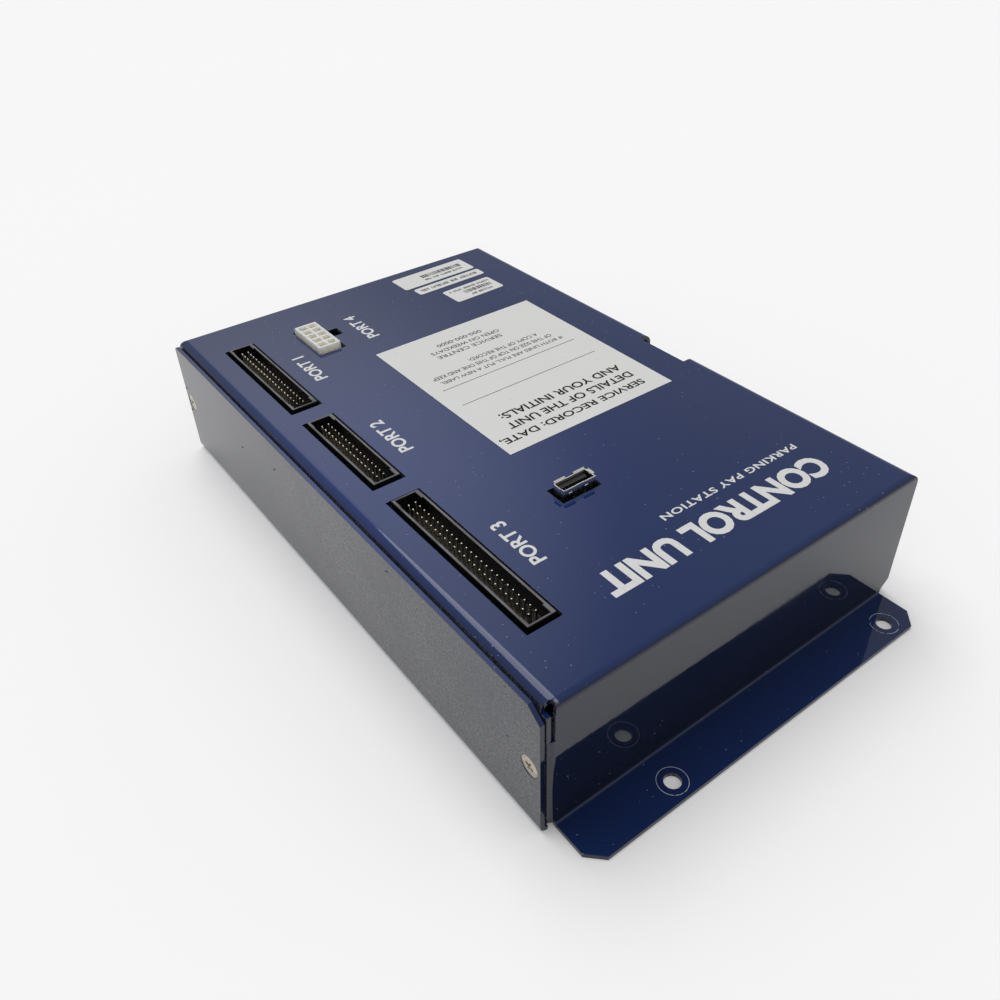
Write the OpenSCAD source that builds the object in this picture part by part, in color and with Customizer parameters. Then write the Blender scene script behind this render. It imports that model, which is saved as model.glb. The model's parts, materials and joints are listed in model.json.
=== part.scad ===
// Control unit of a parking pay station: a folded steel box that holds one circuit board,
// with ribbon-cable headers, a power connector and a USB socket coming through its top.
// Millimetres, +Z up. X runs along the box, and the ribbon-cable headers are near its -Y side.
// Origin: centre of the footprint, on the surface that the unit is screwed down to.

/* [Box] */
// Length of the box between its end faces, without the mounting flanges
box_length = 243; // [240:0.5:260]
// Width of the box over its outer walls: the pan's in front, the housing's at the back
box_width = 156.5; // [156:0.5:170]
// Height of the box to its top face
box_height = 51.8; // [50:0.1:70]
// Thickness of the sheet steel
sheet = 1.5; // [1.2:0.1:1.6]
// Outer radius of the bends between the top and the end walls
end_bend = 2.2; // [2:0.1:3]
// Outer radius of the bends along the top's long sides
side_bend = 4; // [3:0.1:4]
// Height of the housing's front side flange, measured down from the top face
side_flange_drop = 14; // [12:0.5:20]
// Distance from the top face down to the edge of the pan's front wall
pan_edge_drop = 1.7; // [1.5:0.1:3]
// Height of the pan's back flange, inside the housing
pan_flange_height = 36; // [33:0.5:38]

/* [Mounting flanges] */
// How far each mounting flange reaches out from its end wall
flange_reach = 16.7; // [15:0.1:20]
// Size of the chamfers on the flange corners
flange_chamfer = 5; // [3:0.5:8]
// Radius of the mounting holes
mount_hole_r = 2.7; // [2:0.05:3.2]
// Distance from an end wall to the centres of its mounting holes
mount_hole_inset = 10.4; // [9:0.1:11]
// Distance between the two mounting holes of one flange
mount_hole_spacing = 100.8; // [90:0.1:110]
// Offset of the mounting holes' middle towards +Y
mount_hole_shift = 12.1; // [0:0.1:15]

/* [Cover screws] */
// Radius of a countersunk head
screw_head_r = 3.5; // [3.2:0.1:3.6]
// Radius of a screw's shank
screw_shank_r = 1.7; // [1.5:0.1:1.8]
// Length of a screw over its head
screw_length = 9; // [7:0.5:10]
// Distance from an end face to the axis of its cover screws
screw_inset = 5.3; // [5.3:0.1:7]
// Height of the screw axes
screw_height = 25.4; // [20:0.1:30]

/* [Board] */
// Length of a standoff between the top and the board
standoff_length = 6.35; // [6.35:0.05:8]
// Length of the board
board_length = 226; // [220:1:228]
// Width of the board
board_width = 140; // [138:1:142]
// Thickness of the board
board_thickness = 1.6; // [1.2:0.1:2]

/* [Ribbon-cable headers] */
// Distance between neighbouring pins, along and across a header
pin_pitch = 2.54; // [2.54]
// Y position of the three headers' common centre line
header_y = -58.7; // [-60:0.1:-56]
// X position of the 40-way header's centre
header_40_x = -69.5; // [-72:0.1:-68]
// X position of the 32-way header's centre
header_32_x = -6.5; // [-8:0.1:-4]
// X position of the 50-way header's centre
header_50_x = 62.6; // [60:0.1:64]
// Height of a header's rim over the board
header_height = 8.9; // [8.5:0.1:9.5]
// Width of a header
header_width = 9.9; // [9.4:0.1:10]

/* [Power connector] */
// X position of the power connector's centre
power_x = -85.2; // [-88:0.1:-80]
// Y position of the power connector's centre
power_y = -30.4; // [-33:0.1:-27]
// Height of the power connector over the board
power_height = 10.3; // [9.5:0.1:11]
// Distance between neighbouring contacts
power_pitch = 4.2; // [4.2]

/* [USB socket] */
// X position of the USB socket's centre
usb_x = 57.5; // [50:0.1:60]
// Y position of the USB socket's centre
usb_y = -13.4; // [-16:0.1:-10]
// Height of the USB socket over the board
usb_height = 11.4; // [11:0.1:12]

/* [Supply slot] */
// X position of the supply connector's centre
supply_x = 12.7; // [10:0.1:14]
// X position of the middle of the slot in the back wall
supply_slot_x = 10.2; // [8:0.1:14]
// Width of the slot
supply_slot_width = 24.4; // [23:0.1:26]
// Height of the slot's lower edge
supply_slot_floor = 40; // [39:0.5:42]

/* [Labels] */
// Length of the large service label, along X
service_label_length = 88.9; // [60:0.1:100]
// Width of the large service label, along Y
service_label_width = 76.2; // [50:0.1:80]
// X position of the service label's centre
service_label_x = -14.2; // [-20:0.1:-8]
// Y position of the service label's centre
service_label_y = 19.7; // [10:0.1:25]

/* [Hidden] */

$fn = 48;
eps = 0.5;                                   // how far a cutting shape runs past a surface

// Box. The front is its -Y side, where the pan's wall is outside; the back is its +Y side
half_length = box_length / 2;
half_width = box_width / 2;
wall_gap = 0.5;                              // between two walls, one inside the other
inner_side = half_width - sheet - wall_gap;  // outer face of the inner one of two such walls
front_bend_start = inner_side - side_bend;   // the top's flat part ends here, at the front
back_bend_start = half_width - side_bend;    // and here, at the back
corner_start = half_length - end_bend;       // and here, at both ends
relief_slit = 1;                             // between an end wall and the front side flange
end_half = inner_side - sheet - relief_slit;
corner_bend = sheet + relief_slit;           // outer radius of the end walls' return bends
corner_foot_chamfer = 3.5;                   // on the end walls' lower back corners
return_length = 15;                          // flat part of a corner return
return_foot = 2.5;                           // height of the returns' lower edge
relief_hole_r = 1.9;                         // round relief where two top bends meet
relief_hole_inset = [1.2, 1.1];              // its centre, from the end face and the side flange's face
side_flange_inset = 0.5;                     // the front side flange ends this far inside the end face
foot_radius = 0.8;                           // inside radius of the bend into a mounting flange
foot_centre = sheet + foot_radius;           // height of that bend's centre
pan_bend = 2.6;                              // outer radius of the pan's long bends
pan_floor_gap = 0.4;                         // between the pan's floor and an end wall
pan_end_inset = 0.6;                         // the pan's front wall ends this far inside the end faces
pan_chamfer = [5, 4];                        // chamfer on its upper corner at +X
pan_corner_cut = 1;                          // and at -X
pan_half_length = half_length - sheet - pan_floor_gap;
top_underside = box_height - sheet;

// Cover screws
screw_sink = 0.05;                           // head below the pan's face
screw_rim = 0.1;                             // straight rim of the head
screw_cone = screw_head_r - screw_shank_r;   // depth of the head's 90 degree cone
screw_seat_gap = 0.1;                        // between the head and its countersink
screw_recess = [3.8, 0.75, 1.2];             // arm length, arm width and depth of the cross recess
screw_recess_turn = 20;
screw_hole_r = screw_shank_r + 0.4;          // clearance hole in the sheets
clinch_nut_r = 2.8;
clinch_nut_height = 2.2;
thread_gap = 0.05;                           // between a plain shank and its plain nut bore

// Board
board_top = top_underside - standoff_length;
board_under = board_top - board_thickness;
standoff_flat = 5;                           // width over the standoff's flats
standoff_bore_r = 1.5;
board_hole_r = 1.7;
board_screw_head = [2.7, 1.8];               // radius and height
board_screw_reach = 4;                       // how far a board screw goes into its standoff
pin_hole_play = 0.2;                         // how much wider than its pin a plated hole is
corner_hole = [106, 62];                     // board screws near the corners
middle_holes = [[-35.5, header_y], [22.3, header_y], [-20, 62], [60, 62]];

// Headers
pin_side = 0.64;
pin_tail = 1.4;                              // pin length under the board
pin_tip_drop = 0.75;                         // pin tips below the rim
header_end = 8.9;                            // header length beyond its outer pin centres
header_cutout_end = 11.5;                    // cut-out length beyond the outer pin centres
header_cutout_width = 12.5;
header_wall = 0.8;
header_floor = 2.5;
header_corner = 3.8;                         // length of the thicker wall ends
header_corner_extra = [0.35, 0.7];           // how much thicker they are, on the -Y and the +Y wall
header_corner_floor = 1;                     // height where they begin, inside the shroud's floor
header_list = [[header_40_x, 20], [header_32_x, 16], [header_50_x, 25]];  // X position and columns

// Power connector
power_at = [power_x, power_y];
power_columns = 5;
power_size = [22, 9.6];
power_cutout_size = [24.2, 11.9];
power_cutout_at = power_at + [0.3, 0.5];
power_cell = 3.3;                            // width of one contact cavity
power_cell_depth = 7;
power_contact_side = 1.1;
power_contact_drop = 2.2;                    // contact tips below the rim
latch_width = 4;
latch_profile = [1.4, 3.6];                  // how far the latch ramp stands out, and its height
latch_drop = 5;                              // its lower edge, below the rim
latch_slot = [5.9, 11];                      // notch for the plug's latch, from the centre line
latch_slot_x = power_x - 1.4;

// USB socket
usb_at = [usb_x, usb_y];
usb_size = [5.1, 13.2];
usb_wall = 0.3;
usb_cutout_size = [8.4, 16.15];
usb_lip_height = 0.5;                        // height of the flared lips
usb_lip_angle = 50;                          // how far a lip leans outwards
usb_long_lip = 4.6;
usb_short_lip = 3;
usb_long_lip_end = 0.3;                      // from a long side's end to its first lip
usb_floor = 1;                               // the tongue's foot, over the board
usb_window = [2.2, 4];                       // width and height of a spring-finger window
usb_window_drop = 6;                         // a window's lower edge, below the rim
usb_window_y = 3.3;                          // windows lie this far from the middle
usb_spring = [1.4, 3.5];                     // width and height of a spring finger
usb_spring_lean = 6;
usb_tongue_size = [1.8, 11.1];
usb_tongue_x = -1.15;
usb_tongue_drop = 1.6;
usb_contact_y = [-3.5, -1, 1, 3.5];
usb_contact = [0.2, 1];                      // thickness and width
usb_contact_drop = 0.9;                      // contact tips below the tongue's tip

// Supply connector
supply_ways = 6;
supply_pitch = 2.5;
supply_size = [17.4, 11.5, 6];
supply_slot_y = half_width - 6.3;            // the slot's edge in the top
supply_mouth_y = supply_slot_y - 0.5;
supply_wall = 0.9;
supply_back = 3;                             // thickness of the body behind the cavity
supply_pin_height = 2.6;                     // pins over the board
supply_pin_back = 2;                         // pins turn down this far behind the body

// Labels
service_label_at = [service_label_x, service_label_y];
service_label_size = [service_label_length, service_label_width];
label_thickness = 0.15;
small_label_corner = 1.2;
// size, centre and angle of each small label
small_labels = [
    [[12.7, 38.1], [-107.9, 41.5], 1],
    [[6.2, 35.6], [-96.6, 42.9], 1.3],
    [[12.7, 25.4], [-83, 46.5], 1.8]
];

// Parts under the board, each at its own place on the board
processor_at = [20, 5];
memory_at = [[-22, 18], [-22, -8]];
flash_at = [55, 22];
crystal_at = [42, 6];
capacitor_at = [[-95, 20], [-95, 34], [-80, 34], [-80, 20]];
inductor_at = [[-60, 22], [-60, 40]];
regulator_at = [-58, -6];
fuse_at = [-88, -6];
coin_cell_at = [86, 34];
card_at = [66, -12];
reset_at = [92, 60];
switch_at = [50, 56];
lamp_at = [[-8, 60], [0, 60], [8, 60]];
regulator_tab = 1.2;                         // thickness of the regulator's metal tab
regulator_bolt_z = 16.5;                     // its screw, below the board
heat_sink_plate = 2;
heat_sink_height = 24;
fuse_cap_r = 2.6;
fuse_cap_x = 7.25;                           // cap centres, from the fuse's middle
chip_grid = [10, 3];                         // small resistors and capacitors, along X and Y
chip_pitch = [5, 4];
chip_first = [-4, -22];

navy = [0.07, 0.12, 0.30];
steel = [0.75, 0.75, 0.77];
tin = [0.80, 0.80, 0.78];
gold = [0.83, 0.68, 0.35];
black = [0.05, 0.05, 0.05];
ivory = [0.93, 0.91, 0.84];
board_green = [0.05, 0.28, 0.16];
chip_black = [0.12, 0.12, 0.13];

// ---------- helpers ----------

// the child and its copies mirrored to the other end and the other side
module four_ways() {
    for (sx = [-1, 1], sy = [-1, 1]) mirrored_to(sx, sy) children();
}

// the child at the end and the side given by two signs
module mirrored_to(sx, sy) {
    mirror([sx < 0 ? 1 : 0, 0, 0]) mirror([0, sy < 0 ? 1 : 0, 0]) children();
}

// the child at both ends of the front or the back, given by a sign
module both_corners(sy) {
    for (sx = [-1, 1]) mirrored_to(sx, sy) children();
}

// quarter of a bent sheet's section, with its centre at the origin
module quarter_ring(outer) {
    intersection() {
        difference() {
            circle(r = outer);
            circle(r = outer - sheet);
        }
        square(outer);
    }
}

// straight bend along X that turns from +Z to +Y
module bend_along_x(outer, length) {
    rotate([90, 0, 90]) linear_extrude(length, center = true) quarter_ring(outer);
}

// straight bend along Y that turns from +Z to +X
module bend_along_y(outer, length) {
    rotate([90, 0, 0]) linear_extrude(length, center = true) quarter_ring(outer);
}

// box given by its centre in X and Y, its plan size and its two heights
module block(at, size, low, high) {
    translate([at[0] - size[0] / 2, at[1] - size[1] / 2, low]) cube([size[0], size[1], high - low]);
}

module cylinder_from(low, high, radius) {
    translate([0, 0, low]) cylinder(r = radius, h = high - low);
}

// turns a part over, so that it hangs from the board's underside at a place on the board
module under_board(at) {
    translate([at[0], at[1], board_under]) mirror([0, 0, 1]) children();
}

function header_span(columns) = (columns - 1) * pin_pitch;

// ---------- sheet-metal box ----------

// end wall at +X; at the front, the bend over it starts at a place along Y
module end_wall_and_flange(bend_start) {
    bend_length = back_bend_start + bend_start;
    // bend from the top
    translate([corner_start, (back_bend_start - bend_start) / 2, box_height - end_bend])
        bend_along_y(end_bend, bend_length);
    // upright wall
    translate([half_length - sheet, -end_half, foot_centre])
        cube([sheet, end_half + back_bend_start, box_height - end_bend - foot_centre]);
    // bend out into the flange
    translate([half_length + foot_radius, 0, foot_centre]) rotate([0, 180, 0])
        bend_along_y(sheet + foot_radius, 2 * end_half);
    linear_extrude(sheet) flange_outline();
}

module flange_outline() {
    inner = half_length + foot_radius;
    outer = half_length + flange_reach;
    polygon([
        [inner, -end_half], [outer - flange_chamfer, -end_half], [outer, -end_half + flange_chamfer],
        [outer, end_half - flange_chamfer], [outer - flange_chamfer, end_half], [inner, end_half]
    ]);
}

// wall along the +Y side and the bend over it, between two places along X and down to a foot
module side_wall(face, start, stop, foot) {
    translate([(start + stop) / 2, face - side_bend, box_height - side_bend])
        bend_along_x(side_bend, stop - start);
    translate([start, face - sheet, foot]) cube([stop - start, sheet, box_height - side_bend - foot]);
}

// corner at +X and +Y where an end wall and a side wall meet and are welded, down to a foot
module closed_corner(face, foot) {
    intersection() {
        difference() {
            corner_core(face, 0);
            corner_core(face, sheet);
        }
        translate([corner_start, face - side_bend, foot]) cube([end_bend, side_bend, box_height - foot]);
    }
}

// solid under both bends of such a corner, smaller by an inset
module corner_core(face, inset) {
    intersection() {
        translate([corner_start, face, box_height - end_bend]) rotate([90, 0, 0])
            linear_extrude(side_bend + eps) filled_section(end_bend - inset);
        translate([corner_start - eps, face - side_bend, box_height - side_bend]) rotate([90, 0, 90])
            linear_extrude(end_bend + eps) filled_section(side_bend - inset);
    }
}

// section of a bend and the wall under it, filled in, with the bend's centre at the origin
module filled_section(radius) {
    intersection() {
        circle(r = radius);
        translate([-eps, 0]) square([radius + eps, radius]);
    }
    translate([-eps, -box_height]) square([radius + eps, box_height]);
}

// cut under the lower back corner of an end wall
module corner_foot_cut() {
    start = half_width - corner_foot_chamfer;
    translate([corner_start, 0, 0]) rotate([90, 0, 90]) linear_extrude(end_bend + eps) polygon([
        [start, -eps], [half_width + eps, -eps],
        [half_width + eps, foot_centre + corner_foot_chamfer + eps], [start, foot_centre]
    ]);
}

module corner_return() {
    high = box_height - side_flange_drop;
    translate([half_length - corner_bend, end_half, return_foot])
        linear_extrude(high - return_foot) quarter_ring(corner_bend);
    translate([half_length - corner_bend - return_length, inner_side - sheet, return_foot])
        cube([return_length, sheet, high - return_foot]);
}

module top_plate() {
    width = front_bend_start + back_bend_start;
    middle = (back_bend_start - front_bend_start) / 2;
    block([0, middle], [2 * corner_start, width], top_underside, box_height);
}

module connector_cutouts() {
    low = top_underside - eps;
    high = box_height + eps;
    for (h = header_list)
        block([h[0], header_y], [header_span(h[1]) + header_cutout_end, header_cutout_width], low, high);
    block(power_cutout_at, power_cutout_size, low, high);
    block([latch_slot_x, power_at[1] + latch_slot[1] / 2], latch_slot, low, high);
    block(usb_at + [0, 0.1], usb_cutout_size, low, high);
}

// slot through the back wall, open at the top
module supply_slot() {
    translate([supply_slot_x - supply_slot_width / 2, supply_slot_y, supply_slot_floor])
        cube([supply_slot_width, half_width + eps - supply_slot_y, box_height]);
}

module corner_relief() {
    translate([half_length - relief_hole_inset[0], inner_side - relief_hole_inset[1]])
        cylinder_from(box_height - side_bend, box_height + eps, relief_hole_r);
}

module mounting_hole(side) {
    translate([half_length + mount_hole_inset, mount_hole_shift + side * mount_hole_spacing / 2, -eps])
        cylinder(r = mount_hole_r, h = sheet + 2 * eps);
}

module top_housing() {
    return_top = box_height - side_flange_drop;
    color(navy) difference() {
        union() {
            top_plate();
            end_wall_and_flange(end_half);
            mirror([1, 0, 0]) end_wall_and_flange(front_bend_start);
            mirror([0, 1, 0])
                side_wall(inner_side, -corner_start, half_length - side_flange_inset, return_top);
            side_wall(half_width, -corner_start, corner_start, 0);
            both_corners(1) closed_corner(half_width, 0);
            mirrored_to(-1, -1) closed_corner(inner_side, return_top);
            both_corners(-1) corner_return();
        }
        connector_cutouts();
        supply_slot();
        mirrored_to(1, -1) corner_relief();
        both_corners(1) corner_foot_cut();
        both_corners(1) at_cover_screw() countersink();
        both_corners(-1) at_cover_screw() screw_hole();
        both_corners(1) for (side = [-1, 1]) mounting_hole(side);
    }
}

// the pan's outer wall, as if it were at the back
module pan_wall() {
    low = pan_bend;
    high = box_height - pan_edge_drop;
    half = half_length - pan_end_inset;
    translate([0, half_width, 0]) rotate([90, 0, 0]) linear_extrude(sheet) polygon([
        [-half, low], [half, low], [half, high - pan_chamfer[1]], [half - pan_chamfer[0], high],
        [-half + pan_corner_cut, high], [-half, high - pan_corner_cut]
    ]);
    pan_lower_bend(half_width, half);
}

// the pan's flange inside the housing's back wall
module pan_flange() {
    translate([-pan_half_length, inner_side - sheet, pan_bend])
        cube([2 * pan_half_length, sheet, pan_flange_height - pan_bend]);
    pan_lower_bend(inner_side, pan_half_length);
}

// bend from the pan's floor up to a wall with its outer face there, turned to run under it
module pan_lower_bend(face, half) {
    translate([0, face - pan_bend, pan_bend]) rotate([-90, 0, 0]) bend_along_x(pan_bend, 2 * half);
}

module bottom_pan() {
    front = half_width - pan_bend;
    back = inner_side - pan_bend;
    color(navy) difference() {
        union() {
            block([0, (back - front) / 2], [2 * pan_half_length, front + back], 0, sheet);
            mirror([0, 1, 0]) pan_wall();
            pan_flange();
        }
        both_corners(-1) at_cover_screw() countersink();
        both_corners(1) at_cover_screw() screw_hole();
    }
}

// places a shape on a cover screw's axis, with +Z pointing into the box from the outer wall's face
module at_cover_screw() {
    translate([half_length - screw_inset, half_width, screw_height]) rotate([90, 0, 0]) children();
}

module screw_hole() {
    cylinder(r = screw_hole_r, h = screw_length);
}

module countersink() {
    rim_depth = screw_sink + screw_rim;
    cylinder_from(-eps, rim_depth, screw_head_r + screw_seat_gap);
    translate([0, 0, rim_depth])
        cylinder(r1 = screw_head_r + screw_seat_gap, r2 = screw_shank_r + screw_seat_gap, h = screw_cone);
    cylinder_from(0, 2 * sheet, screw_hole_r);
}

// ---------- fasteners ----------

module countersunk_screw() {
    rim_depth = screw_sink + screw_rim;
    color(steel) difference() {
        union() {
            cylinder_from(screw_sink, rim_depth, screw_head_r);
            translate([0, 0, rim_depth]) cylinder(r1 = screw_head_r, r2 = screw_shank_r, h = screw_cone);
            cylinder_from(rim_depth + screw_cone, screw_length, screw_shank_r);
        }
        for (turn = [0, 90]) rotate([0, 0, turn + screw_recess_turn])
            block([0, 0], [screw_recess[0], screw_recess[1]], 0, screw_recess[2]);
    }
}

// screws 1 and 2 are on the -Y side, 3 and 4 on the +Y side
module cover_screw(sx, sy) {
    mirrored_to(sx, sy) at_cover_screw() countersunk_screw();
}

// pressed into the corner returns at the front and the pan's flange at the back
module clinch_nuts() {
    inner_face = 2 * sheet + wall_gap;
    color(steel) four_ways() at_cover_screw() translate([0, 0, inner_face]) difference() {
        cylinder(r = clinch_nut_r, h = clinch_nut_height);
        cylinder_from(-eps, clinch_nut_height + eps, screw_shank_r + thread_gap);
    }
}

module at_board_holes() {
    four_ways() translate(corner_hole) children();
    for (place = middle_holes) translate(place) children();
}

module board_standoffs() {
    across_corners = standoff_flat / cos(30);
    color(tin) at_board_holes() translate([0, 0, board_top]) difference() {
        cylinder(d = across_corners, h = standoff_length, $fn = 6);
        cylinder_from(-eps, board_screw_reach + eps, standoff_bore_r);
    }
}

module board_screws() {
    color(steel) at_board_holes() {
        cylinder_from(board_under - board_screw_head[1], board_under, board_screw_head[0]);
        cylinder_from(board_under, board_top + board_screw_reach, standoff_bore_r - thread_gap);
    }
}

// ---------- board ----------

module pin_grid(columns, rows, pitch) {
    for (i = [0 : columns - 1], j = [0 : rows - 1])
        translate([(i - (columns - 1) / 2) * pitch, (j - (rows - 1) / 2) * pitch]) children();
}

// square plated holes, with a little room round each pin
module pin_holes(columns, rows, pitch, side) {
    width = side + pin_hole_play;
    pin_grid(columns, rows, pitch) block([0, 0], [width, width], board_under - eps, board_top + eps);
}

module main_board() {
    color(board_green) difference() {
        block([0, 0], [board_length, board_width], board_under, board_top);
        at_board_holes() cylinder_from(board_under - eps, board_top + eps, board_hole_r);
        for (h = header_list) translate([h[0], header_y]) pin_holes(h[1], 2, pin_pitch, pin_side);
        translate(power_at) pin_holes(power_columns, 2, power_pitch, power_contact_side);
    }
}

// ---------- ribbon-cable headers ----------

module header_shroud(header) {
    columns = header[1];
    length = header_span(columns) + header_end;
    rim = board_top + header_height;
    inside = [length - 2 * header_wall, header_width - 2 * header_wall];
    color(black) translate([header[0], header_y]) difference() {
        union() {
            difference() {
                block([0, 0], [length, header_width], board_top, rim);
                block([0, 0], inside, board_top + header_floor, rim + eps);
            }
            for (sx = [-1, 1], side = [0, 1])
                header_wall_end(sx, 2 * side - 1, header_corner_extra[side], inside, rim);
        }
        pin_grid(columns, 2, pin_pitch)
            block([0, 0], [pin_side, pin_side], board_top - eps, board_top + header_floor + eps);
    }
}

// thicker end of a long wall; it starts inside the end wall, the long wall and the floor
module header_wall_end(sx, sy, extra, inside, rim) {
    overlap = header_wall / 2;
    size = [header_corner + overlap, extra + overlap];
    at = [sx * (inside[0] / 2 - header_corner + size[0] / 2), sy * (inside[1] / 2 - extra + size[1] / 2)];
    block(at, size, board_top + header_corner_floor, rim);
}

module header_pins(header) {
    color(gold) translate([header[0], header_y]) pin_grid(header[1], 2, pin_pitch)
        block([0, 0], [pin_side, pin_side], board_under - pin_tail, board_top + header_height - pin_tip_drop);
}

// ---------- power connector ----------

module power_connector_body() {
    rim = board_top + power_height;
    color(ivory) translate(power_at) difference() {
        union() {
            block([0, 0], power_size, board_top, rim);
            // ramp that the plug's latch snaps over
            translate([0, power_size[1] / 2, rim - latch_drop]) rotate([90, 0, 90])
                linear_extrude(latch_width, center = true)
                    polygon([[0, 0], [latch_profile[0], 0], [0, latch_profile[1]]]);
        }
        pin_grid(power_columns, 2, power_pitch) {
            block([0, 0], [power_cell, power_cell], rim - power_cell_depth, rim + eps);
            block([0, 0], [power_contact_side, power_contact_side], board_top - eps, rim);
        }
    }
}

module power_connector_contacts() {
    color(tin) translate(power_at) pin_grid(power_columns, 2, power_pitch)
        block([0, 0], [power_contact_side, power_contact_side], board_under - pin_tail,
              board_top + power_height - power_contact_drop);
}

// ---------- USB socket ----------

module usb_lip(width) {
    rotate([0, usb_lip_angle, 0]) translate([-usb_wall, -width / 2, 0])
        cube([usb_wall, width, usb_lip_height / cos(usb_lip_angle)]);
}

module usb_window_cut(side, y) {
    low = board_top + usb_height - usb_window_drop;
    block([side * usb_size[0] / 2, y], [4 * usb_wall, usb_window[0]], low, low + usb_window[1]);
}

// spring finger in a window, rooted in its lower edge; it leans in on the side away from the tongue
module usb_spring_finger(side, y) {
    low = board_top + usb_height - usb_window_drop;
    lean = side > 0 ? -usb_spring_lean : 0;
    translate([side * (usb_size[0] - usb_wall) / 2, y, low - usb_wall / 2])
        rotate([0, lean, 0])
            block([0, 0], [usb_wall, usb_spring[0]], 0, usb_spring[1]);
}

module usb_shell() {
    lip_foot = board_top + usb_height - usb_lip_height;
    inside = usb_size - [2 * usb_wall, 2 * usb_wall];
    long_lip_y = (usb_size[1] - usb_long_lip) / 2 - usb_long_lip_end;
    color(tin) translate(usb_at) {
        difference() {
            block([0, 0], usb_size, board_top, lip_foot + usb_wall / 3);
            block([0, 0], inside, board_top + usb_floor, box_height + usb_height);
            for (side = [-1, 1], y = [-usb_window_y, usb_window_y]) usb_window_cut(side, y);
        }
        for (side = [-1, 1], y = [-usb_window_y, usb_window_y]) usb_spring_finger(side, y);
        for (turn = [0, 180], y = [-long_lip_y, long_lip_y]) rotate([0, 0, turn])
            translate([usb_size[0] / 2, y, lip_foot]) usb_lip(usb_long_lip);
        for (turn = [90, -90]) rotate([0, 0, turn])
            translate([usb_size[1] / 2, 0, lip_foot]) usb_lip(usb_short_lip);
    }
}

module usb_tongue() {
    tip = board_top + usb_height - usb_tongue_drop;
    color(black) translate(usb_at + [usb_tongue_x, 0]) difference() {
        block([0, 0], usb_tongue_size, board_top + usb_floor, tip);
        for (y = usb_contact_y) usb_contact_at(y, tip, usb_contact + [0.1, 0.1]);
    }
}

module usb_contacts() {
    tip = board_top + usb_height - usb_tongue_drop;
    color(gold) translate(usb_at + [usb_tongue_x, 0])
        for (y = usb_contact_y) usb_contact_at(y, tip, usb_contact);
}

// contact strip in the tongue's +X face
module usb_contact_at(y, tip, size) {
    x = (usb_tongue_size[0] - usb_contact[0]) / 2;
    block([x, y], size, board_top + usb_floor, tip - usb_contact_drop);
}

// ---------- supply connector behind the slot ----------

module supply_connector_body() {
    deep = supply_size[1];
    inside = [supply_size[0] - 2 * supply_wall, deep, supply_size[2] - 2 * supply_wall];
    color(ivory) translate([supply_x, supply_mouth_y - deep, board_top]) difference() {
        translate([-supply_size[0] / 2, 0, 0]) cube(supply_size);
        translate([-inside[0] / 2, supply_back, supply_wall]) cube(inside);
        supply_pin_rows(-eps, deep);
    }
}

// the pins' level legs, between two distances from the body's back
module supply_pin_rows(from, to) {
    for (i = [0 : supply_ways - 1]) translate([supply_pin_x(i), 0, supply_pin_height])
        translate([-pin_side / 2, from, 0]) cube([pin_side, to - from, pin_side]);
}

function supply_pin_x(i) = (i - (supply_ways - 1) / 2) * supply_pitch;

// right-angle pins: along Y in the mouth, then down behind the body to the board
module supply_connector_pins() {
    deep = supply_size[1];
    color(tin) translate([supply_x, supply_mouth_y - deep, board_top]) {
        supply_pin_rows(-supply_pin_back, deep - supply_pin_back);
        for (i = [0 : supply_ways - 1])
            block([supply_pin_x(i), pin_side / 2 - supply_pin_back], [pin_side, pin_side],
                  0, supply_pin_height + pin_side);
    }
}

// ---------- parts under the board ----------
// In each of these modules z counts down from the board's underside.

module processor() {
    color(chip_black) under_board(processor_at) {
        block([0, 0], [27, 27], 0.5, 1.2);
        block([0, 0], [24, 24], 1.2, 2.3);
        block([0, 0], [25, 25], 0, 0.5);
    }
}

module memory_chips() {
    color(chip_black) for (place = memory_at) under_board(place) {
        block([0, 0], [22.2, 10.2], 0.1, 1.2);
        for (side = [-1, 1]) block([0, side * 5.6], [20.8, 1], 0, 0.5);
    }
}

module flash_memory() {
    color(chip_black) under_board(flash_at) {
        block([0, 0], [18.4, 12], 0.1, 1.2);
        for (side = [-1, 1]) block([side * 9.7, 0], [1, 11], 0, 0.5);
    }
}

module crystal() {
    color(tin) under_board(crystal_at) hull() for (x = [-3.2, 3.2])
        translate([x, 0]) cylinder(r = 2.3, h = 3.5, $fn = 32);
}

module capacitors() {
    color([0.15, 0.18, 0.45]) for (place = capacitor_at) under_board(place) cylinder(r = 5, h = 16);
}

module inductors() {
    color([0.2, 0.2, 0.2]) for (place = inductor_at) under_board(place) {
        cylinder(r = 6.5, h = 1.2);
        cylinder_from(1.2, 6.3, 5);
        cylinder_from(6.3, 7.5, 6.5);
    }
}

// flat package that stands on its three legs against the heat sink
module regulator() {
    width = 10;
    leg = 0.8;
    color(chip_black) under_board(regulator_at) {
        translate([-width / 2, 0, 4]) cube([width, 4.4, 9]);
        difference() {
            translate([-width / 2, 0, 13]) cube([width, regulator_tab, 6.5]);
            regulator_bolt_hole(1.8);
        }
        for (x = [-pin_pitch, 0, pin_pitch])
            translate([x - leg / 2, regulator_tab, 0]) cube([leg, leg, 4]);
    }
}

module regulator_bolt_hole(radius) {
    translate([0, 0, regulator_bolt_z]) rotate([-90, 0, 0]) cylinder(r = radius, h = 30, center = true);
}

// back plate with three fins on each side of the screw
module heat_sink() {
    width = 26;
    fin = [2, 10];
    fin_pitch = 4;
    color(black) under_board(regulator_at) difference() {
        union() {
            block([0, -heat_sink_plate / 2], [width, heat_sink_plate], 0, heat_sink_height);
            for (i = [-3, -2, -1, 1, 2, 3])
                block([i * fin_pitch, -heat_sink_plate - fin[1] / 2], fin, 0, heat_sink_height);
        }
        regulator_bolt_hole(1.6);
    }
}

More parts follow.
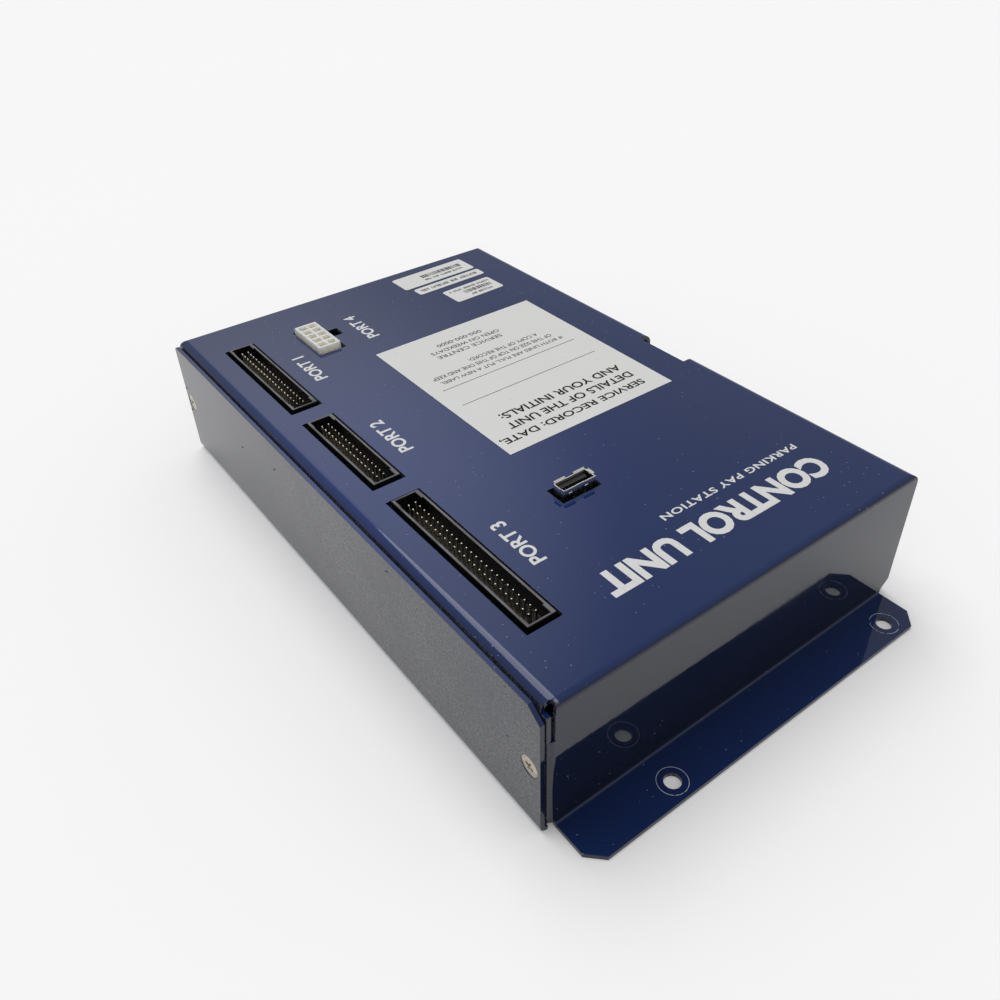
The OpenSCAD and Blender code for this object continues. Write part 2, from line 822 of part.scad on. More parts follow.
module regulator_screw() {
    head = [2.7, 2];
    color(steel) under_board(regulator_at) translate([0, regulator_tab, regulator_bolt_z])
        rotate([90, 0, 0]) {
            cylinder_from(-head[1], 0, head[0]);
            cylinder_from(0, 5, 1.45);
        }
}

// glass tube with two end caps
module fuse() {
    color([0.85, 0.88, 0.88]) under_board(fuse_at) translate([0, 0, 4]) rotate([0, 90, 0]) {
        cylinder(r = fuse_cap_r - 0.2, h = 2 * fuse_cap_x, center = true);
        for (side = [-1, 1]) translate([0, 0, side * fuse_cap_x])
            cylinder(r = fuse_cap_r, h = 5.5, center = true);
    }
}

// the clips' flanks press on the fuse's caps
module fuse_clips() {
    flank = 0.6;
    grip = 0.05;
    flank_y = fuse_cap_r - grip + flank / 2;
    color(tin) under_board(fuse_at) for (side = [-1, 1]) {
        block([side * fuse_cap_x, 0], [5, 2 * flank_y + flank], 0, flank);
        for (sy = [-1, 1]) block([side * fuse_cap_x, sy * flank_y], [5, flank], 0, 6.5);
    }
}

// open-sided holder: the cell slides out towards +X
module coin_cell_holder() {
    outer = 24;
    color(black) under_board(coin_cell_at) difference() {
        block([-1, 0], [outer, outer], 0, 5.2);
        block([0, 0], [outer, 20.6], 1, 4.6);
        block([6, 0], [20, 12], 1, 6);
    }
}

module coin_cell() {
    color(steel) under_board(coin_cell_at) cylinder_from(1.2, 4.4, 10);
}

// the card slides out towards +X
module card_socket() {
    outer = 28;
    color(tin) under_board(card_at) difference() {
        block([-1, 0], [outer, outer], 0, 3.2);
        block([0, 0], [outer, 24.4], 0.5, 2.9);
    }
}

module memory_card() {
    size = [32, 24];
    corner = 3.5;
    low = [-13.5, -size[1] / 2];
    high = low + size;
    color(black) under_board(card_at) translate([0, 0, 0.65]) linear_extrude(2.1) polygon([
        low, [high[0], low[1]], high, [low[0] + corner, high[1]], [low[0], high[1] - corner]
    ]);
}

module reset_frame() {
    color([0.25, 0.25, 0.27]) under_board(reset_at) difference() {
        block([0, 0], [6, 6], 0, 3.5);
        cylinder_from(0.8, 4, 1.85);
    }
}

module reset_plunger() {
    color(black) under_board(reset_at) cylinder_from(1.5, 5, 1.75);
}

module switch_body() {
    color([0.6, 0.08, 0.08]) under_board(switch_at) difference() {
        block([0, 0], [11.7, 9.6], 0, 5);
        for (i = [0 : 3]) block([slider_x(i), 0], [1.6, 4.4], 3, 6);
    }
}

function slider_x(i) = (i - 1.5) * pin_pitch;

// at rest every slider is at the -Y end of its slot
module switch_slider(i) {
    color([0.95, 0.95, 0.95]) under_board(switch_at) block([slider_x(i), -1.1], [1.3, 1.9], 3.1, 5.6);
}

module status_lamps() {
    color([0.3, 0.7, 0.3]) for (place = lamp_at) under_board(place) {
        block([0, 0], [3.2, 1.6], 0, 0.6);
        block([0, 0], [2, 1.4], 0.6, 1.2);
    }
}

// rows of small resistors and capacitors near the processor
module chip_parts() {
    color([0.35, 0.28, 0.2]) for (i = [0 : chip_grid[0] - 1], row = [0 : chip_grid[1] - 1])
        under_board(chip_first + [i * chip_pitch[0], -row * chip_pitch[1]]) block([0, 0], [2, 1.25], 0, 0.6);
}

// ---------- labels ----------

module service_label() {
    color([0.93, 0.93, 0.9])
        block(service_label_at, service_label_size, box_height, box_height + label_thickness);
}

module small_label(data) {
    size = data[0];
    inner = size - [2 * small_label_corner, 2 * small_label_corner];
    color([0.95, 0.95, 0.95]) translate([data[1][0], data[1][1], box_height]) rotate([0, 0, data[2]])
        linear_extrude(label_thickness) union() {
            square([size[0], inner[1]], center = true);
            square([inner[0], size[1]], center = true);
            for (sx = [-1, 1], sy = [-1, 1])
                translate([sx * inner[0] / 2, sy * inner[1] / 2]) circle(r = small_label_corner);
        }
}

top_housing();
bottom_pan();
cover_screw(1, -1);  // cover_screw_1
cover_screw(-1, -1);  // cover_screw_2
cover_screw(1, 1);  // cover_screw_3
cover_screw(-1, 1);  // cover_screw_4
clinch_nuts();
board_standoffs();
board_screws();
main_board();
header_shroud(header_list[0]);  // header_40_shroud
header_pins(header_list[0]);  // header_40_pins
header_shroud(header_list[1]);  // header_32_shroud
header_pins(header_list[1]);  // header_32_pins
header_shroud(header_list[2]);  // header_50_shroud
header_pins(header_list[2]);  // header_50_pins
power_connector_body();
power_connector_contacts();
usb_shell();
usb_tongue();
usb_contacts();
supply_connector_body();
supply_connector_pins();
processor();
memory_chips();
flash_memory();
crystal();
capacitors();
inductors();
regulator();
heat_sink();
regulator_screw();
fuse();
fuse_clips();
coin_cell_holder();
coin_cell();
card_socket();
memory_card();
reset_frame();
reset_plunger();
switch_body();
switch_slider(0);  // switch_slider_1
switch_slider(1);  // switch_slider_2
switch_slider(2);  // switch_slider_3
switch_slider(3);  // switch_slider_4
status_lamps();
chip_parts();
service_label();
small_label(small_labels[0]);  // small_label_1
small_label(small_labels[1]);  // small_label_2
small_label(small_labels[2]);  // small_label_3
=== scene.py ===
"""Looks of a parking pay station's control unit: gloss paint, connectors, prints, labels and light.

Every length in this file is in millimetres, and MM turns it into metres.
"""

import json
import math
import random

import bmesh
import bpy
from mathutils import Matrix, Vector


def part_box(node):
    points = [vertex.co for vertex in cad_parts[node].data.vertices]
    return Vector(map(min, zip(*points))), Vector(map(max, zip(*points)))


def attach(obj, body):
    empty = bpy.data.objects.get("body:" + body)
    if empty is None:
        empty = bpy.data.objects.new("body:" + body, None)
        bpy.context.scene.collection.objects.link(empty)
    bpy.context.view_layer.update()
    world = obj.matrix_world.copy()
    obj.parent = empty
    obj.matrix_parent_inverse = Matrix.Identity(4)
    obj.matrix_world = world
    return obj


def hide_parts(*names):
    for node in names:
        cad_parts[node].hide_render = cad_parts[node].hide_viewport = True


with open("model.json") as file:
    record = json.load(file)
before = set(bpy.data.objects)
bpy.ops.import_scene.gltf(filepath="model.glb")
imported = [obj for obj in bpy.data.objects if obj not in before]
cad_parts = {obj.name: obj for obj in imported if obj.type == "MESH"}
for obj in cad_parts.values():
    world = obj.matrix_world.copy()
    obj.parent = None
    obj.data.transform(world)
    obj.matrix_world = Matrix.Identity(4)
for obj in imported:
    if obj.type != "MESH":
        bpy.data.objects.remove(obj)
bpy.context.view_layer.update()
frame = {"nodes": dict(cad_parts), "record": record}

MM = 0.001
BODY = "unit"

# Camera: where it stands, where it looks in degrees, and its lens
CAMERA_AT = (233.39, -167.54, 230.2)
CAMERA_YAW = 53.96
CAMERA_PITCH = -37.15
CAMERA_ROLL = -1.74
CAMERA_LENS = 32.97
CAMERA_SHIFT = (-0.0082, -0.0152)

# Light: a broad key high over the far end, and a sky with one bright patch lower on that side.
# SKY_FADE holds the cosines, from the patch's middle, at which it starts and is at its brightest.
# The floor glows a little, so that it stays near white.
KEY_DIRECTION = (-0.38, -0.03, 0.92)
KEY_SPREAD = 44
KEY_STRENGTH = 1.2
SKY_DARK = 0.46
SKY_BRIGHT = 1.25
SKY_BRIGHT_TOWARDS = (-0.709, 0.236, 0.665)
SKY_FADE = (0.93, 1.0)
SKY_CAMERA = 0.95
FLOOR_WHITE = 0.93
FLOOR_GLOW = 0.16

# Paint: two shades of each blue, for slow drifts of colour. A painted pool of light lies round one
# point of the top, less and less out to the reach, and painted shade makes the upright sides near
# black. PAINT_EDGE is the radius with which its edges are shaded.
NAVY = ((0.0050, 0.0200, 0.094), (0.0060, 0.0225, 0.105))
NAVY_PAINTED_LIGHT = ((0.0090, 0.0290, 0.139), (0.0105, 0.0325, 0.155))
NAVY_PAINTED_SHADE = (0.0028, 0.0060, 0.022)
PAINTED_LIGHT_CENTRE = (10, -62, 50)
PAINTED_LIGHT_REACH = 125
SIDE_GREY = (0.125, 0.126, 0.136)
SIDE_GREY_ON_ENDS = 0.05
DUST = (0.42, 0.46, 0.54)
SCRATCH = (0.002, 0.003, 0.008)
PAINT_EDGE = 0.25

# Prints: the ink's thickness, and the gap that keeps it off the surface it lies on
INK_THICKNESS = 0.03
INK_GAP = 0.005

random.seed(7)


# ---------- helpers for every part ----------

def box_of(node):
    """Lowest and highest corner of a CAD node."""
    return [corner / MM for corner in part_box(node)]


def add_node(tree, kind, **settings):
    """A new shader node with those settings."""
    node = tree.nodes.new(kind)
    for key, value in settings.items():
        setattr(node, key, value)
    return node


def add_step(tree, low, high, to_low, to_high):
    """A node that steps smoothly from to_low at low to to_high at high. The value goes to 'Value'."""
    node = add_node(tree, "ShaderNodeMapRange", interpolation_type="SMOOTHSTEP")
    ends = {"From Min": low, "From Max": high, "To Min": to_low, "To Max": to_high}
    for name, value in ends.items():
        node.inputs[name].default_value = value
    return node


# ---------- materials ----------

class Shader:
    """A new material and short calls for the nodes used here."""

    def __init__(self, name):
        self.material = bpy.data.materials.new(name)
        self.material.use_nodes = True
        self.tree = self.material.node_tree
        self.surface = self.tree.nodes["Principled BSDF"]
        self.place = self.add("ShaderNodeTexCoord").outputs["Object"]
        self.last_bump = None

    def add(self, kind, **settings):
        return add_node(self.tree, kind, **settings)

    def link(self, source, socket):
        self.tree.links.new(source, socket)

    def feed(self, socket, value):
        """Links a node's output to the socket, or sets the socket to a number or colour."""
        if isinstance(value, bpy.types.NodeSocket):
            self.link(value, socket)
        elif isinstance(value, tuple) and len(value) == 3 and socket.type == "RGBA":
            socket.default_value = (*value, 1)
        else:
            socket.default_value = value

    def principled(self, **values):
        """Sets the main shader's sockets; base_color stands for 'Base Color', and so on."""
        names = {socket.name.lower().replace(" ", "_"): socket for socket in self.surface.inputs}
        for key, value in values.items():
            self.feed(names[key], value)

    def placed(self, size, turn=(0, 0, 0)):
        """Object coordinates, turned by three angles and in units of one length or of three."""
        sizes = size if isinstance(size, tuple) else (size,) * 3
        mapping = self.add("ShaderNodeMapping")
        mapping.inputs["Scale"].default_value = [1 / (s * MM) for s in sizes]
        turned = self.add("ShaderNodeVectorRotate", rotation_type="EULER_XYZ")
        turned.inputs["Rotation"].default_value = [math.radians(angle) for angle in turn]
        self.link(self.place, turned.inputs["Vector"])
        self.link(turned.outputs["Vector"], mapping.inputs["Vector"])
        return mapping.outputs["Vector"]

    def noise(self, size, detail=2, roughness=0.5):
        """Soft noise from 0 to 1 with features of about that size."""
        node = self.add("ShaderNodeTexNoise")
        node.inputs["Scale"].default_value = 1
        node.inputs["Detail"].default_value = detail
        node.inputs["Roughness"].default_value = roughness
        self.link(self.placed(size), node.inputs["Vector"])
        return node.outputs["Fac"]

    def dots(self, spacing, radius, turn=(0, 0, 0)):
        """1 inside dots about a spacing apart, 0 outside. One long spacing of three makes dashes."""
        node = self.add("ShaderNodeTexVoronoi")
        node.inputs["Scale"].default_value = 1
        self.link(self.placed(spacing, turn), node.inputs["Vector"])
        return self.map(node.outputs["Distance"], radius, radius * 0.6)

    def map(self, source, low, high, to_low=0.0, to_high=1.0):
        """Smooth step of the source, from to_low where it is low to to_high where it is high."""
        if low > high:
            low, high, to_low, to_high = high, low, to_high, to_low
        node = add_step(self.tree, low, high, to_low, to_high)
        self.link(source, node.inputs["Value"])
        return node.outputs["Result"]

    def near(self, centre, reach):
        """1 at a point of the object, falling smoothly to 0 at the reach."""
        away = self.add("ShaderNodeVectorMath", operation="DISTANCE")
        away.inputs[1].default_value = [c * MM for c in centre]
        self.link(self.place, away.inputs[0])
        return self.map(away.outputs["Value"], reach * MM, 0.0)

    def split(self, vector):
        """The X, Y and Z of a vector."""
        node = self.add("ShaderNodeSeparateXYZ")
        self.link(vector, node.inputs["Vector"])
        return node.outputs

    def facing(self):
        """How far the surface faces along X, Y and Z, each from 0 to 1."""
        normal = self.add("ShaderNodeNewGeometry").outputs["Normal"]
        return [self.math("ABSOLUTE", axis) for axis in self.split(normal)]

    def off(self, coordinate, value):
        """How far a coordinate is from a value, on either side."""
        return self.math("ABSOLUTE", self.math("SUBTRACT", coordinate, value))

    def math(self, operation, a, b=0):
        node = self.add("ShaderNodeMath", operation=operation)
        self.feed(node.inputs[0], a)
        self.feed(node.inputs[1], b)
        return node.outputs["Value"]

    def mix(self, factor, a, b):
        """Colour a where the factor is 0, b where it is 1."""
        node = self.add("ShaderNodeMix", data_type="RGBA")
        self.feed(node.inputs["Factor"], factor)
        self.feed(node.inputs[6], a)
        self.feed(node.inputs[7], b)
        return node.outputs[2]

    def round_edges(self, radius):
        """Shades edges as if they were rounded. It comes before any bump."""
        node = self.add("ShaderNodeBevel", samples=4)
        node.inputs["Radius"].default_value = radius * MM
        self.last_bump = node.outputs["Normal"]

    def bump(self, height, depth):
        """Adds relief of that depth, in millimetres, to what earlier calls made."""
        node = self.add("ShaderNodeBump")
        node.inputs["Distance"].default_value = depth * MM
        self.link(height, node.inputs["Height"])
        if self.last_bump is not None:
            self.link(self.last_bump, node.inputs["Normal"])
        self.last_bump = node.outputs["Normal"]
        self.link(self.last_bump, self.surface.inputs["Normal"])


def navy_paint(name):
    """Gloss stoved paint with a painted pool of light round one point of the top, painted shade on the
    upright sides, a grainy grey on the long sides, dust, grit and scratches.
    """
    s = Shader(name)
    facing_x, facing_y, facing_z = s.facing()
    side = s.map(facing_y, 0.75, 0.99)
    end = s.map(facing_x, 0.75, 0.99)

    # Colour: painted shade on the faces that stand upright, and a painted pool of light round one point
    # of the top
    painted_light = s.near(PAINTED_LIGHT_CENTRE, PAINTED_LIGHT_REACH)
    on_top = s.mix(painted_light, s.mix(s.noise(60), *NAVY), s.mix(s.noise(60), *NAVY_PAINTED_LIGHT))
    # Painted shade: the upright faces take a darker blue than the top, for the light that misses them.
    coloured = s.mix(s.map(facing_z, 0.25, 0.97), NAVY_PAINTED_SHADE, on_top)

    # A grainy grey mixed into the colour of the long sides, and a trace of it on the ends
    side_grey = s.map(s.noise(0.8, detail=4, roughness=0.8), 0.36, 0.66)
    side_grey = s.math("MULTIPLY", side_grey, s.map(s.noise(30, detail=3), 0.25, 0.65, 0.55, 1.0))
    where = s.math("MAXIMUM", side, s.math("MULTIPLY", end, SIDE_GREY_ON_ENDS))
    coloured = s.mix(s.math("MULTIPLY", side_grey, where), coloured, SIDE_GREY)

    # Specks of dust, in drifts
    dust = s.math("MULTIPLY", s.dots(2.6, 0.085), s.map(s.noise(22, detail=3), 0.40, 0.62))
    coloured = s.mix(s.math("MULTIPLY", dust, 0.6), coloured, DUST)

    # Dark marks: grit, hairline scratches, and short rubs on the long sides
    grit = s.dots(11, 0.035, turn=(0, 0, 30))
    hairs_upright = s.dots((26, 2.6, 2.6), 0.028, turn=(0, 24, 24))
    hairs_on_top = s.dots((2.2, 17, 17), 0.035, turn=(0, -32, -12))
    hairs = s.math("MAXIMUM", hairs_upright, hairs_on_top)
    hairs = s.math("MULTIPLY", hairs, s.map(s.noise(28), 0.50, 0.60))
    rubs = s.math("MULTIPLY", s.dots((26, 12, 9), 0.07, turn=(0, 30, 0)), side)
    marks = s.math("MAXIMUM", s.math("MAXIMUM", grit, rubs), s.math("MULTIPLY", hairs, 0.7))
    coloured = s.mix(marks, coloured, SCRATCH)

    # Gloss, which dust and marks break
    gloss = s.map(s.noise(35, detail=4), 0.40, 0.75, 0.035, 0.075)
    dull = s.math("MULTIPLY", s.math("MAXIMUM", dust, marks), 0.55)
    s.principled(base_color=coloured, roughness=s.math("MAXIMUM", gloss, dull), ior=1.5)
    s.round_edges(PAINT_EDGE)
    s.bump(s.noise(1.8, detail=1), 0.006)
    s.bump(s.noise(0.5, detail=1), 0.0012)
    s.bump(dust, 0.02)
    return s.material


def metal(name, colour, roughness, wear):
    """Plated or bare metal with fine drawn lines along Y and patches that have gone dull."""
    s = Shader(name)
    dark = tuple(c * (1 - 2.2 * wear) for c in colour)
    patches = s.map(s.noise(1.8, detail=4, roughness=0.6), 0.35, 0.70)
    s.principled(
        base_color=s.mix(patches, colour, dark),
        roughness=s.map(s.noise(0.9, detail=3), 0.30, 0.70, roughness * 0.75, roughness * 1.4),
        metallic=1.0,
    )
    s.bump(s.noise((0.15, 2.5, 0.15)), 0.002)
    return s.material


def moulded(name, colour, roughness, grain=0.004, variation=0.12, glow=0.0, glow_depth=1.0):
    """Moulded plastic or resin: fine grain and uneven gloss. Light enters it if glow is over 0."""
    s = Shader(name)
    darker = tuple(c * (1 - variation) for c in colour)
    s.principled(
        base_color=s.mix(s.map(s.noise(4, detail=4), 0.30, 0.70), colour, darker),
        roughness=s.map(s.noise(1.2, detail=3), 0.30, 0.70, roughness * 0.85, roughness * 1.2),
    )
    if glow:
        s.principled(
            subsurface_weight=glow,
            subsurface_scale=glow_depth * MM,
            subsurface_radius=(1.0, 0.9, 0.7),
        )
    s.bump(s.noise(0.25), grain)
    return s.material


def header_plastic(name):
    """Black moulded plastic. The headers' rims, which all stand equally high, carry a painted highlight
    in grey.
    """
    s = Shader(name)
    _, _, facing_z = s.facing()
    _, rim = box_of("header_40_shroud")
    off_rim = s.off(s.split(s.place)[2], rim.z * MM)
    at_rim = s.math("MULTIPLY", s.map(off_rim, 0.10 * MM, 0.04 * MM), s.map(facing_z, 0.90, 0.99))
    # Painted highlight: this grey on the rims stands for light caught on their edges, not for wear.
    worn = s.math("MULTIPLY", at_rim, s.map(s.noise(9), 0.3, 0.6, 0.3, 1.0))
    s.principled(
        base_color=s.mix(worn, (0.0045, 0.0045, 0.005), (0.13, 0.13, 0.14)),
        roughness=s.map(s.noise(1.2, detail=3), 0.3, 0.7, 0.26, 0.38),
    )
    s.bump(s.noise(0.25), 0.003)
    return s.material


def board_laminate(name):
    """Green solder mask over copper tracks."""
    s = Shader(name)
    tracks = s.add("ShaderNodeTexBrick", offset=0.35, squash=1.6)
    tracks.inputs["Scale"].default_value = 1
    tracks.inputs["Mortar Size"].default_value = 0.035
    tracks.inputs["Mortar Smooth"].default_value = 0.2
    tracks.inputs["Brick Width"].default_value = 1.0
    tracks.inputs["Row Height"].default_value = 0.22
    s.link(s.placed(7), tracks.inputs["Vector"])
    track = tracks.outputs["Fac"]
    mask = s.mix(s.noise(15), (0.010, 0.085, 0.038), (0.014, 0.105, 0.050))
    s.principled(
        base_color=s.mix(track, mask, (0.035, 0.200, 0.085)),
        roughness=s.map(s.noise(2), 0.30, 0.70, 0.25, 0.40),
    )
    s.bump(track, 0.02)
    return s.material


def capacitor_sleeve(name):
    """Shrink sleeve with the pale stripe that marks one side."""
    s = Shader(name)
    across, _, _ = s.split(s.placed(15))
    stripe = s.map(s.math("FRACT", across), 0.78, 0.80)
    s.principled(
        base_color=s.mix(stripe, (0.012, 0.016, 0.075), (0.45, 0.47, 0.50)),
        roughness=s.map(s.noise(3), 0.3, 0.7, 0.28, 0.40),
    )
    s.bump(s.noise(0.6), 0.004)
    return s.material


def fuse_glass(name):
    """Clear tube between plated caps."""
    s = Shader(name)
    low, high = box_of("fuse")
    from_middle = s.off(s.split(s.place)[0], (low.x + high.x) / 2 * MM)
    cap_starts, cap_full = 4.4 * MM, 4.6 * MM
    cap = s.map(from_middle, cap_starts, cap_full)
    s.principled(
        base_color=s.mix(cap, (0.86, 0.90, 0.90), (0.72, 0.71, 0.68)),
        metallic=cap,
        roughness=s.map(s.noise(2), 0.3, 0.7, 0.06, 0.18),
        transmission_weight=s.map(from_middle, cap_full, cap_starts),
    )
    s.bump(s.noise(1.5), 0.002)
    return s.material


def label_paper(name):
    """Satin label stock: faint fibres, dirt and a few specks."""
    s = Shader(name)
    paper = s.mix(s.noise(18, detail=4), (0.760, 0.766, 0.748), (0.715, 0.722, 0.706))
    specks = s.math("MULTIPLY", s.dots(5, 0.045), 0.7)
    s.principled(
        base_color=s.mix(specks, paper, (0.10, 0.09, 0.08)),
        roughness=s.map(s.noise(9, detail=3), 0.3, 0.7, 0.38, 0.55),
    )
    s.bump(s.noise(0.35), 0.0015)
    s.bump(s.noise(14, detail=1), 0.03)
    return s.material


def ink(name, colour, roughness=0.35, worn=0.15, specular=0.5):
    """Screen-printed or label ink with slightly uneven cover."""
    s = Shader(name)
    thin = tuple(c * (1 - worn) for c in colour)
    s.principled(
        base_color=s.mix(s.map(s.noise(1.2, detail=4, roughness=0.7), 0.45, 0.75), colour, thin),
        roughness=s.map(s.noise(2), 0.3, 0.7, roughness * 0.8, roughness * 1.2),
        specular_ior_level=specular,
    )
    s.bump(s.noise(0.4), 0.002)
    return s.material


def floor_paper(name):
    """Matt white floor."""
    s = Shader(name)
    white = (FLOOR_WHITE,) * 3
    s.principled(
        base_color=s.mix(s.noise(300), white, tuple(c * 0.99 for c in white)),
        roughness=0.9,
        specular_ior_level=0.1,
        emission_color=white,
        emission_strength=FLOOR_GLOW,
    )
    return s.material


METALS = {
    "nickel_steel": dict(colour=(0.56, 0.50, 0.39), roughness=0.16, wear=0.20),
    "gold_pins": dict(colour=(0.94, 0.87, 0.72), roughness=0.20, wear=0.04),
    "bright_tin": dict(colour=(0.92, 0.92, 0.90), roughness=0.20, wear=0.04),
    "black_aluminium": dict(colour=(0.055, 0.055, 0.060), roughness=0.42, wear=0.10),
    "cell_steel": dict(colour=(0.74, 0.74, 0.74), roughness=0.22, wear=0.05),
}

MOULDINGS = {
    "ivory_nylon": dict(
        colour=(0.99, 0.95, 0.82), roughness=0.34, variation=0.04, glow=1.0, glow_depth=4.0
    ),
    "chip_epoxy": dict(colour=(0.018, 0.018, 0.020), roughness=0.55, grain=0.008),
    "ferrite": dict(colour=(0.055, 0.055, 0.058), roughness=0.65, grain=0.012),
    "card_plastic": dict(colour=(0.020, 0.026, 0.060), roughness=0.42),
    "switch_red": dict(colour=(0.400, 0.020, 0.018), roughness=0.35),
    "slider_white": dict(colour=(0.780, 0.780, 0.760), roughness=0.38, glow=0.2),
    "lamp_lens": dict(colour=(0.420, 0.620, 0.260), roughness=0.15, glow=0.4),
    "chip_ceramic": dict(colour=(0.280, 0.200, 0.120), roughness=0.50, grain=0.006),
}

OTHERS = {
    "navy_paint": navy_paint,
    "header_plastic": header_plastic,
    "board_laminate": board_laminate,
    "capacitor_sleeve": capacitor_sleeve,
    "fuse_glass": fuse_glass,
    "label_paper": label_paper,
}


def slot_material(slot):
    """The material of one of the record's slots."""
    if slot in METALS:
        return metal(slot, **METALS[slot])
    if slot in MOULDINGS:
        return moulded(slot, **MOULDINGS[slot])
    return OTHERS[slot](slot)


# ---------- mesh helpers ----------

def placed_object(name, data):
    """A new object in the scene."""
    made = bpy.data.objects.new(name, data)
    bpy.context.scene.collection.objects.link(made)
    return made


def new_piece(name, mesh, material, body=BODY):
    """An object of that mesh that rides on a CAD body."""
    piece = placed_object(name, mesh)
    piece.data.materials.clear()
    piece.data.materials.append(material)
    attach(piece, body)
    return piece


def mesh_of(name, build):
    """A mesh made by a function that fills a bmesh."""
    shape = bmesh.new()
    build(shape)
    bmesh.ops.recalc_face_normals(shape, faces=shape.faces)
    mesh = bpy.data.meshes.new(name)
    shape.to_mesh(mesh)
    shape.free()
    return mesh


def soften(piece, width):
    """Small rounded edges between faces that stay flat. The weld joins the faces of a CAD node first."""
    weld = piece.modifiers.new("weld", "WELD")
    weld.merge_threshold = 0.002 * MM
    bevel = piece.modifiers.new("bevel", "BEVEL")
    bevel.width = width * MM
    bevel.segments = 2
    bevel.limit_method = "ANGLE"
    bevel.angle_limit = math.radians(32)
    bevel.use_clamp_overlap = False
    level = piece.modifiers.new("level", "WEIGHTED_NORMAL")
    level.keep_sharp = True


def rings(shape, profile, sides, radius_at):
    """Closed surface of rings about the Z axis, from a profile of (radius, z).

    radius_at takes the profile's radius, z and the angle round the axis, and gives the real radius.
    """
    made = []
    for radius, z in profile:
        ring = []
        for k in range(sides):
            angle = 2 * math.pi * k / sides
            r = radius_at(radius, z, angle)
            ring.append(shape.verts.new((r * MM * math.cos(angle), r * MM * math.sin(angle), z * MM)))
        made.append(ring)
    for low, high in zip(made, made[1:]):
        for k in range(sides):
            shape.faces.new((low[k], low[(k + 1) % sides], high[(k + 1) % sides], high[k]))
    shape.faces.new(list(reversed(made[0])))
    shape.faces.new(made[-1])


def prism(shape, outline, low, high, lower=None):
    """Solid between two heights. The lower outline may differ from the upper one."""
    top = [shape.verts.new((x * MM, y * MM, high * MM)) for x, y in outline]
    bottom = [shape.verts.new((x * MM, y * MM, low * MM)) for x, y in (lower or outline)]
    count = len(outline)
    for k in range(count):
        following = (k + 1) % count
        shape.faces.new((bottom[k], bottom[following], top[following], top[k]))
    shape.faces.new(list(reversed(bottom)))
    shape.faces.new(top)


def rectangle(x, y, width, depth):
    """Outline of a rectangle about a point."""
    return [
        (x - width / 2, y - depth / 2),
        (x + width / 2, y - depth / 2),
        (x + width / 2, y + depth / 2),
        (x - width / 2, y + depth / 2),
    ]


def cross(reach, width):
    """Outline of a plus sign."""
    half = width / 2
    arm = [(reach, -half), (reach, half), (half, half)]
    outline = []
    for turn in range(4):
        angle = turn * math.pi / 2
        outline += [
            (x * math.cos(angle) - y * math.sin(angle), x * math.sin(angle) + y * math.cos(angle))
            for x, y in arm
        ]
    return outline


def cut(mesh, tool):
    """The mesh with the tool's shape taken out of it."""
    piece = placed_object("piece", mesh)
    cutter = placed_object("cutter", tool)
    modifier = piece.modifiers.new("cut", "BOOLEAN")
    modifier.operation = "DIFFERENCE"
    modifier.solver = "EXACT"
    modifier.object = cutter
    bpy.context.view_layer.update()
    evaluated = piece.evaluated_get(bpy.context.evaluated_depsgraph_get())
    result = bpy.data.meshes.new_from_object(evaluated)
    for used in (piece, cutter):
        bpy.data.objects.remove(used)
    return result


def smooth(mesh, angle):
    """Smooth shading with sharp edges where faces meet at more than the angle."""
    mesh.shade_smooth()
    mesh.set_sharp_from_angle(angle=math.radians(angle))


# ---------- connectors ----------

PIN_PITCH = 2.54
PIN_SIDE = 0.64
PIN_TAPER = 0.45
PIN_TIP = 0.55 * PIN_SIDE


def header_pins(node, material):
    """Square pins with pointed tips, in place of the CAD node's plain ones."""
    low, high = box_of(node)
    columns = round((high.x - low.x - PIN_SIDE) / PIN_PITCH) + 1
    rows = round((high.y - low.y - PIN_SIDE) / PIN_PITCH) + 1

    def build(shape):
        for i in range(columns):
            for j in range(rows):
                x = low.x + PIN_SIDE / 2 + i * PIN_PITCH
                y = low.y + PIN_SIDE / 2 + j * PIN_PITCH
                body = rectangle(x, y, PIN_SIDE, PIN_SIDE)
                tip = rectangle(x, y, PIN_TIP, PIN_TIP)
                prism(shape, body, low.z + PIN_TAPER, high.z - PIN_TAPER)
                prism(shape, tip, high.z - PIN_TAPER, high.z, lower=body)
                prism(shape, body, low.z, low.z + PIN_TAPER, lower=tip)

    pins = new_piece(f"{node}_pointed", mesh_of(node, build), material)
    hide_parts(node)


# ---------- screws ----------

# Heights are along the screw's own axis. The head's face is at SCREW_FACE, its widest ring at
# SCREW_RIM, and the recess runs from above the face down to SCREW_RECESS_END.
SCREW_FACE = 0.05
SCREW_RIM = 0.15
SCREW_ROUNDING = 0.12
SCREW_SHANK_R = 1.7
SCREW_SIDES = 40
SCREW_POINT = 0.6
SCREW_POINT_TAPER = 0.5
SCREW_RECESS_START = -0.2
SCREW_RECESS_END = 1.5
SCREW_RECESS_MOUTH = dict(reach=1.9, width=0.85)
SCREW_RECESS_FLOOR = dict(reach=0.45, width=0.4)
SCREW_THREAD_PITCH = 0.7
SCREW_THREAD_DEPTH = 0.25
RINGS_PER_TURN = 8

# How far each screw was turned when it was tightened, in degrees
SCREW_TURNS = {1: 20, 2: 50, 3: 75, 4: 5}


